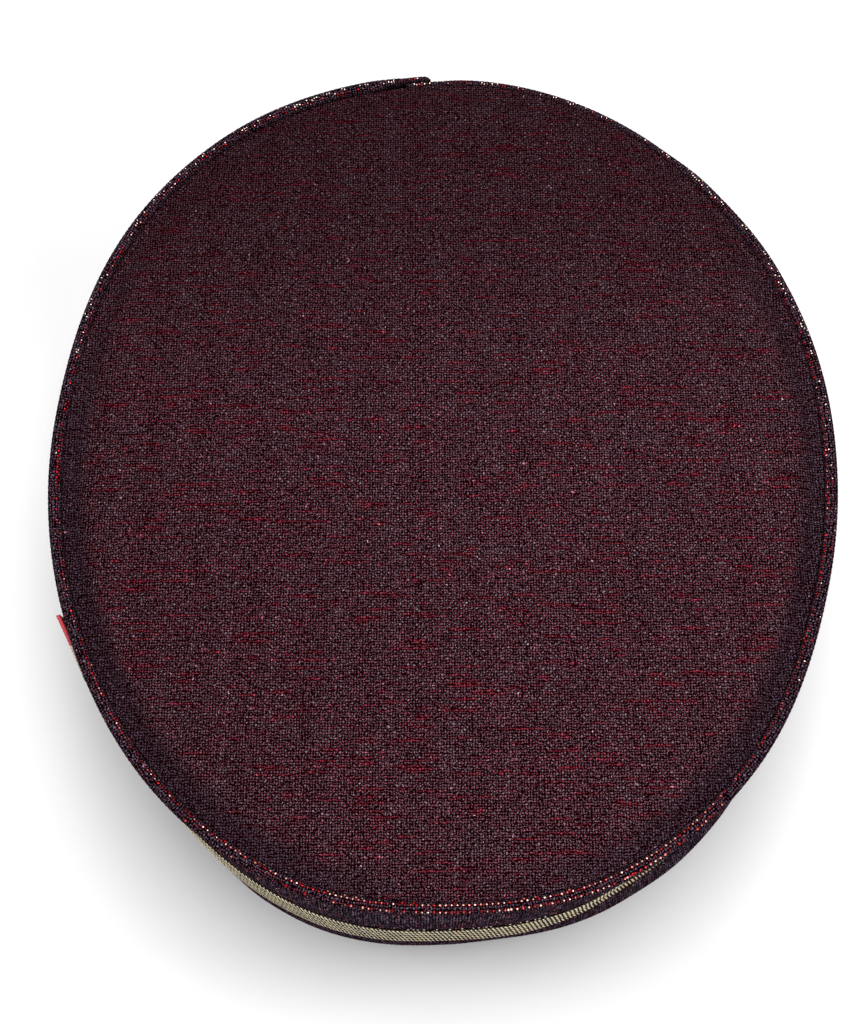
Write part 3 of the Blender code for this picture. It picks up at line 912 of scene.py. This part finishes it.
redFoil = makeFoil()
ridgeBeads = stampShapes("ridge_beads", beadSpots(), 8, 6)
ridgeBeads.data.materials.append(redFoil)
print(f"ridge beads: {len(ridgeBeads.data.polygons)} faces")

# the same loops, few and far between, on the wall above the braid
wallFlecks = {
    "share": 0.022,
    "half": (0.00026, 0.00030, 0.00014),
    "stand": 0.00008,
    "lean": 0.3,
    "low": 0.0015,    # over the braid
    "high": 0.002,    # under the wall's top
    "rows": 26,
    # spread of the painted highlight on their tops
    "highlight": (0.3, 1.0),
    "seed": 22,
}


def alongWall(turn, out, level):  # the way the wall runs at a place
    return (wallSpot(turn + 0.3, out, level) - wallSpot(turn - 0.3, out, level)).normalized()


def fleckSpots():
    dice = random.Random(wallFlecks["seed"])
    face = form["wall"]
    spots = []
    for turn in roundTurns[:-1:2]:
        for level in steps(form["braidTop"] + wallFlecks["low"], form["wallTop"] - wallFlecks["high"],
                           wallFlecks["rows"]):
            if dice.random() > wallFlecks["share"]:
                continue
            here = wallSpot(turn, face + wallFlecks["stand"], level)
            out = leaned((wallSpot(turn, face + probe, level) - here).normalized(), wallFlecks["lean"], dice)
            half = [part * dice.uniform(*sizeSpread) for part in wallFlecks["half"]]
            spots.append((here, alongWall(turn, face, level), out, half, dice.uniform(*wallFlecks["highlight"])))
    return spots


foilFlecks = stampShapes("foil_flecks", fleckSpots(), 6, 4)
foilFlecks.data.materials.append(redFoil)
print(f"foil flecks: {len(foilFlecks.data.polygons)} faces")

# gold braid: courses of short bars, each with a round lip along its top
braid = {
    "thick": 0.0010,
    "bars": 600,           # round the hat
    "stepsPerBar": 3,
    "courses": 5,
    "shares": (0.0, 0.16, 0.40, 0.68, 0.91, 0.955, 0.985),   # rows in each course
    "swollen": 0.6,        # where in a course it is fully swollen
    "lip": 0.91,           # where in a course its lip begins to turn in
    "relief": 0.00024,
    "barRelief": 0.30,     # the bars' share of it
    "slant": 0.5,          # bars that the pattern shifts by from one course to the next
    "twist": 0.9,          # bars that each bar leans by from the foot of its course to the top
    "gape": 0.00002,       # how far its upper edge stands off the wall
    "lean": 0.00016,       # how far it leans in elsewhere
    "gapeReach": 0.0060,
    "backRows": 7,         # down its hidden back, which follows the wall
    "edge": 0.00038,       # how thick the ribbon is along its upper edge
    "swell": 0.0001,       # added to its thickness at the foot
    "thin": 0.8,           # how soon it thins going up
    "sag": 0.6,            # of the gape, taken off its face again
    "bright": (1.00, 0.93, 0.68, 1),
    "dull": (0.93, 0.78, 0.48, 1),
    # the colour of the painted shade between its bars and between its threads
    "dark": (0.020, 0.010, 0.004, 1),
    "pink": (0.50, 0.20, 0.16, 1),   # tints its very foot
    "footRange": (0.32, 0.06),       # where in a course the painted shade at its foot lies
    "mouthRange": (0.965, 0.985),    # where in a course the painted shade in the slit over its lip lies
    "grooveRange": (0.32, -0.15),    # how far from a bar's middle its groove begins and is whole
    "uneven": 0.35,
    "topRange": (4.80, 4.90),        # the topmost lip has no painted shade in the slit over it
    "topSlit": 0.2,
    "threads": 75.0,                 # fine threads across each bar
    "threadRange": (0.2, -0.9),
    # painted shade between the fine threads
    "threadShade": 0.3,
    "threadBump": 0.15,
    "tarnish": (0.35, 3.0),          # scale and detail of its duller patches
    "tarnishRange": (0.3, 0.75),
    "tarnishReach": (-0.1, 0.5),
    "barTarnish": 0.7,               # how much one bar differs from the next
    "pinkRange": (0.9, 0.2),
    "pinkShare": 0.7,
    "roughness": (0.24, 0.40),
    "metal": 0.85,
    "bump": (0.7, 0.0002),
    "tilt": 0.34,
}
# turn, how far the braid's upper edge gapes
gapeRows = [(0, 0.2), (200, 0.0), (252, 0.0), (263, 0.9), (285, 1.0), (300, 0.5), (325, 0.2)]


def braidSwell(share):  # from a course's foot up to its lip
    if share < braid["lip"]:
        return math.sin(math.pi / 2 * min(1.0, share / braid["swollen"]))
    past = (share - braid["lip"]) / (1 - braid["lip"])
    return math.sqrt(max(0.0, 1 - past * past))


def braidDepth(column, course, share, level):  # the ribbon's thickness at a point of its face
    fall = (form["braidTop"] - level) / form["braidHeight"]
    full = braid["edge"] + (braid["thick"] + braid["swell"] - braid["edge"]) * fall ** braid["thin"]
    bar = column / braid["stepsPerBar"] - braid["slant"] * course + braid["twist"] * share
    across = math.cos(2 * math.pi * bar)
    bulge = 1 - braid["barRelief"] + braid["barRelief"] * across
    return full - braid["relief"] * (1 - bulge * braidSwell(share))


def buildBraid():
    columnCount = braid["bars"] * braid["stepsPerBar"] + 1
    turns = [turnAt(girth * step / (columnCount - 1)) for step in range(columnCount - 1)]
    turns.append(turns[0] + 360)
    gapes = []
    for turn in turns:
        share = readRound(gapeRows, 1, turn)
        gapes.append(braid["gape"] * share - braid["lean"] * (1 - share))
    low, high = form["braidFoot"], form["braidTop"]
    rows = [(course, share) for course in range(braid["courses"]) for share in braid["shares"]]
    rows.append((braid["courses"] - 1, 1.0))
    levels = [low + form["braidHeight"] * (course + share) / braid["courses"] for course, share in rows]
    backs = [high, high - braid["gapeReach"] / 2, *steps(high - braid["gapeReach"], low, braid["backRows"])]
    ups = [course + share for course, share in rows] + [0.0] * len(backs) + [0.0]

    def place(column, row):
        row %= len(rows) + len(backs)
        level = levels[row] if row < len(rows) else backs[row - len(rows)]
        near = smooth((level - high) / braid["gapeReach"] + 1)
        off = form["wall"] + form["gap"] + gapes[column] * near
        if row < len(rows):
            off += braidDepth(column % (columnCount - 1), *rows[row], level)
            off -= max(0.0, gapes[column]) * braid["sag"] * near
        return wallSpot(turns[column], off, level)

    return bendCloth("braid_ribbon", columnCount, len(ups), place,
                     lambda column, row: (column / braid["stepsPerBar"], ups[row]))


def makeGold():
    material, tree, shader = newMaterial("goldBraid")
    across, up = partsOf(tree, weaveMap(tree))[:2]
    course = mathNode(tree, "FLOOR", up)
    part = mathNode(tree, "FRACT", up)
    rib = mathNode(tree, "SUBTRACT", across, timesOf(tree, course, braid["slant"]))
    rib = mathNode(tree, "MULTIPLY_ADD", part, braid["twist"], rib)
    wave = mathNode(tree, "COSINE", timesOf(tree, rib, 2 * math.pi))
    # painted shade between the bars, at the foot of each course and in the slit over its lip
    foot = rangeNode(tree, part, *braid["footRange"])
    mouth = rangeNode(tree, part, *braid["mouthRange"])
    dice = whiteOf(tree, mathNode(tree, "ROUND", rib), course)
    uneven = rangeNode(tree, dice[0], 0.0, 1.0, (-braid["uneven"], braid["uneven"]), "LINEAR")
    groove = rangeNode(tree, mathNode(tree, "ADD", wave, uneven), *braid["grooveRange"])
    notch = mathNode(tree, "MAXIMUM", foot, mouth)
    notch = timesOf(tree, notch, rangeNode(tree, up, *braid["topRange"], (1.0, braid["topSlit"])))
    dark = mathNode(tree, "MAXIMUM", groove, notch)
    threads = mathNode(tree, "SINE", timesOf(tree, up, braid["threads"]))
    tarnish = noiseOf(tree, vectorOf(tree, across, timesOf(tree, up, 2.0)), *braid["tarnish"])
    tarnish = mathNode(tree, "ADD", rangeNode(tree, tarnish, *braid["tarnishRange"], braid["tarnishReach"]),
                       timesOf(tree, partsOf(tree, dice[1])[0], braid["barTarnish"]), clamp=True)
    bright = mixColour(tree, tarnish, braid["bright"], braid["dull"])
    pinkness = rangeNode(tree, up, *braid["pinkRange"], (0.0, braid["pinkShare"]))
    bright = mixColour(tree, pinkness, bright, braid["pink"])
    # painted shade between the fine threads
    shaded = rangeNode(tree, threads, *braid["threadRange"], (0.0, braid["threadShade"]))
    colour = mixColour(tree, dark, mixColour(tree, shaded, bright, braid["dark"]), braid["dark"])
    tree.links.new(colour, shader.inputs["Base Color"])
    tree.links.new(rangeNode(tree, tarnish, 0.0, 1.0, braid["roughness"]), shader.inputs["Roughness"])
    metal = mathNode(tree, "MULTIPLY_ADD", dark, -braid["metal"], braid["metal"])
    tree.links.new(metal, shader.inputs["Metallic"])
    shader.inputs["Specular IOR Level"].default_value = 0.0
    height = mathNode(tree, "ADD", wave, timesOf(tree, threads, braid["threadBump"]))
    bump = bumpOf(tree, height, *braid["bump"])
    tree.links.new(tipNormal(tree, bump, dice[1], braid["tilt"]), shader.inputs["Normal"])
    return material


goldBraid = makeGold()
braidRibbon = buildBraid()
braidRibbon.data.materials.append(goldBraid)
print(f"braid: {len(braidRibbon.data.polygons)} faces")

# pale stitches along the braid's upper edge, seen only where it gapes
stitch = {
    "pace": 0.0014,
    "half": (0.00032, 0.00018, 0.00016),
    "rise": 0.0012,         # over the braid's top
    "stand": 0.00010,       # off the wall
    "stray": 0.25,          # along the row, in paces
    "jitter": 0.0006,       # up and down
    "lean": (0.25, 0.1),
    "colour": (0.90, 0.82, 0.68, 1),
    "faded": 0.6,
    "metal": 0.3,
    "roughness": 0.4,
    "twist": 2400.0,
    "twistRange": (0.3, 0.7),
    "bump": (0.4, 0.00005),
    "shown": (262, 286),    # from one turn to another
    "share": 0.55,
    "seed": 41,
}


def stitchSpots():
    dice = random.Random(stitch["seed"])
    level, out = form["braidTop"] + stitch["rise"], form["wall"] + stitch["stand"]
    spots = []
    first, last = (round(paceAt(turn) / stitch["pace"]) for turn in stitch["shown"])
    for step in range(first, last):
        turn = turnAt((step + dice.uniform(-stitch["stray"], stitch["stray"])) * stitch["pace"])
        here = wallSpot(turn, out, level + dice.uniform(-1, 1) * stitch["jitter"])
        up = (wallSpot(turn, out + probe, level + probe) - wallSpot(turn, out, level)).normalized()
        up = leaned(up, stitch["lean"][1], dice)
        along = leaned(alongWall(turn, out, level), stitch["lean"][0], dice)
        half = [part * dice.uniform(*sizeSpread) for part in stitch["half"]]
        if dice.random() < stitch["share"]:
            spots.append((here, along, up, half, 0.0))
    return spots


def makeThread():
    material, tree, shader = newMaterial("paleThread")
    twist = objectNoise(tree, stitch["twist"])
    faded = [part * stitch["faded"] for part in stitch["colour"][:3]] + [1]
    colour = mixColour(tree, rangeNode(tree, twist, *stitch["twistRange"]), stitch["colour"], faded)
    tree.links.new(colour, shader.inputs["Base Color"])
    shader.inputs["Metallic"].default_value = stitch["metal"]
    shader.inputs["Roughness"].default_value = stitch["roughness"]
    tree.links.new(bumpOf(tree, twist, *stitch["bump"]), shader.inputs["Normal"])
    return material


upperStitches = stampShapes("braid_stitches", stitchSpots(), 8, 6)
upperStitches.data.materials.append(makeThread())
print(f"braid stitches: {len(upperStitches.data.polygons)} faces")

# woven tab on the wearer's right
tab = {
    "length": 0.0160,
    "height": 0.0080,
    "thick": 0.0009,
    "drop": 0.0020,       # below the wall's top
    "lift": 0.0016,       # how far its free end stands off the wall
    "turn": 207.0,        # where its sewn end is
    "columns": 41,
    "rows": 21,
    "rib": 0.00005,
    "greenEnd": (1.55, 1.95),     # in ribs from its sewn end
    "ecruEnd": (10.1, 10.9),
    "weaveRange": (0.2, -0.9),
    "weaveShade": 0.45,
    "unevenShade": 0.3,
    "bump": (0.4, 0.0001),
    "red": (0.70, 0.055, 0.070, 1),
    "ecru": (0.66, 0.56, 0.44, 1),
    "green": (0.05, 0.36, 0.14, 1),
    "shade": (0.16, 0.030, 0.030, 1),
    "roughness": 0.7,
}


def buildTab():
    top = form["wallTop"] - tab["drop"]
    start = paceAt(tab["turn"])
    levels = steps(top - tab["height"], top, tab["rows"])
    rows = [(tab["thick"], level) for level in levels] + [(0.0, level) for level in reversed(levels)]
    rows += rows[:1]

    def place(column, row):
        share = column / (tab["columns"] - 1)
        out, level = rows[row]
        rib = tab["rib"] * math.cos(math.pi * column) * (1 if out else -1)
        base = form["wall"] + form["gap"] + tab["lift"] * share * share
        return wallSpot(turnAt(start - tab["length"] * share), base + out + rib, level)

    return bendCloth("tab_ribbon", tab["columns"], len(rows), place,
                     lambda column, row: (column / 2, row / 2))


def makeTab():
    material, tree, shader = newMaterial("tabWeave")
    along, up = partsOf(tree, weaveMap(tree))[:2]
    dice = whiteOf(tree, *(mathNode(tree, "ROUND", timesOf(tree, part, 2.0)) for part in (along, up)))
    stripe = mixColour(tree, rangeNode(tree, along, *tab["greenEnd"]), tab["green"], tab["ecru"])
    stripe = mixColour(tree, rangeNode(tree, along, *tab["ecruEnd"]), stripe, tab["red"])
    weave = timesOf(tree, mathNode(tree, "SINE", timesOf(tree, along, 2 * math.pi)),
                    mathNode(tree, "COSINE", timesOf(tree, up, 2 * math.pi)))
    shade = rangeNode(tree, weave, *tab["weaveRange"], (0.0, tab["weaveShade"]))
    stripe = mixColour(tree, shade, stripe, tab["shade"])
    stripe = mixColour(tree, timesOf(tree, dice[0], tab["unevenShade"]), stripe, tab["shade"])
    tree.links.new(stripe, shader.inputs["Base Color"])
    shader.inputs["Roughness"].default_value = tab["roughness"]
    tree.links.new(bumpOf(tree, weave, *tab["bump"]), shader.inputs["Normal"])
    return material


tabRibbon = buildTab()
tabRibbon.data.materials.append(makeTab())
print("tab made")

# floor, lights and camera
studio = {
    "floorColour": (0.82, 0.82, 0.83, 1),
    "floorShade": (0.80, 0.80, 0.815, 1),
    "floorSize": 3.0,
    "floorRoughness": 0.6,
    "clouds": (6.0, 2.0),     # scale and detail of its shading
    "cloudRange": (0.3, 0.7),
    "aim": (0, 0, 0.06),      # the lamps face this point
    "world": 0.43,
    "camera": (-0.0040, -0.1361, 0.5452),
    "turned": (0.266, 0.0, -0.005),
    "lens": 74.6,
}
lamps = [  # name, place, size, watts, colour
    ("overhead", (0.05, 0.07, 1.15), 0.42, 8.8, (1.0, 1.0, 1.0)),
    ("back", (0.06, 0.50, 1.05), 0.30, 1.4, (1.0, 1.0, 1.0)),
    ("low front", (0.16, -0.90, 0.56), 0.16, 2.4, (1.0, 0.98, 0.95)),
    ("right", (0.95, 0.10, 0.75), 0.34, 2.4, (1.0, 1.0, 1.0)),
    ("left", (-0.95, 0.10, 0.75), 0.34, 2.0, (1.0, 1.0, 1.0)),
]


def buildStage():
    sheet = bmesh.new()
    bmesh.ops.create_grid(sheet, x_segments=8, y_segments=8, size=studio["floorSize"] / 2)
    floor = finishPiece("floor", sheet)
    material, tree, shader = newMaterial("paleFloor")
    cloudy = rangeNode(tree, objectNoise(tree, *studio["clouds"]), *studio["cloudRange"])
    colour = mixColour(tree, cloudy, studio["floorColour"], studio["floorShade"])
    tree.links.new(colour, shader.inputs["Base Color"])
    shader.inputs["Roughness"].default_value = studio["floorRoughness"]
    floor.data.materials.append(material)
    for name, place, size, watts, colour in lamps:
        lamp = bpy.data.lights.new(name, "AREA")
        lamp.shape = "SQUARE"
        lamp.size = size
        lamp.energy = watts
        lamp.color = colour
        light = bpy.data.objects.new(name, lamp)
        light.location = place
        light.rotation_euler = (Vector(studio["aim"]) - Vector(place)).to_track_quat("-Z", "Y").to_euler()
        bpy.context.scene.collection.objects.link(light)
    world = bpy.data.worlds.new("studio")
    world.use_nodes = True
    sky = world.node_tree.nodes["Background"].inputs
    sky["Color"].default_value = (1.0, 1.0, 1.0, 1)
    sky["Strength"].default_value = studio["world"]
    bpy.context.scene.world = world
    camera = bpy.data.objects.new("camera", bpy.data.cameras.new("camera"))
    camera.data.lens = studio["lens"]
    camera.data.sensor_width = 36.0
    camera.data.clip_start = 0.01
    camera.location = studio["camera"]
    camera.rotation_euler = studio["turned"]
    bpy.context.scene.collection.objects.link(camera)
    bpy.context.scene.camera = camera
    bpy.context.scene.view_settings.view_transform = "Standard"


buildStage()
print("floor, lights and camera made")


# what each piece stands for and moves with
for piece, node, slot in (
    (crownCloth, "crown_top", "crown_cloth"),
    (ridgeCloth, "top_ridge", "ridge_cloth"),
    (wallCloth, "side_band", "wall_cloth"),
    (braidRibbon, "gold_braid", "braid"),
    (hemCloth, "hem_fold", "hem_cloth"),
    (tabRibbon, "side_tab", "tab_weave"),
):
    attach(piece, "root")
    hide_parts(node)
for piece, slot in ((ridgeBeads, "ridge_cloth"), (foilFlecks, "wall_cloth"), (upperStitches, "braid")):
    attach(piece, "root")
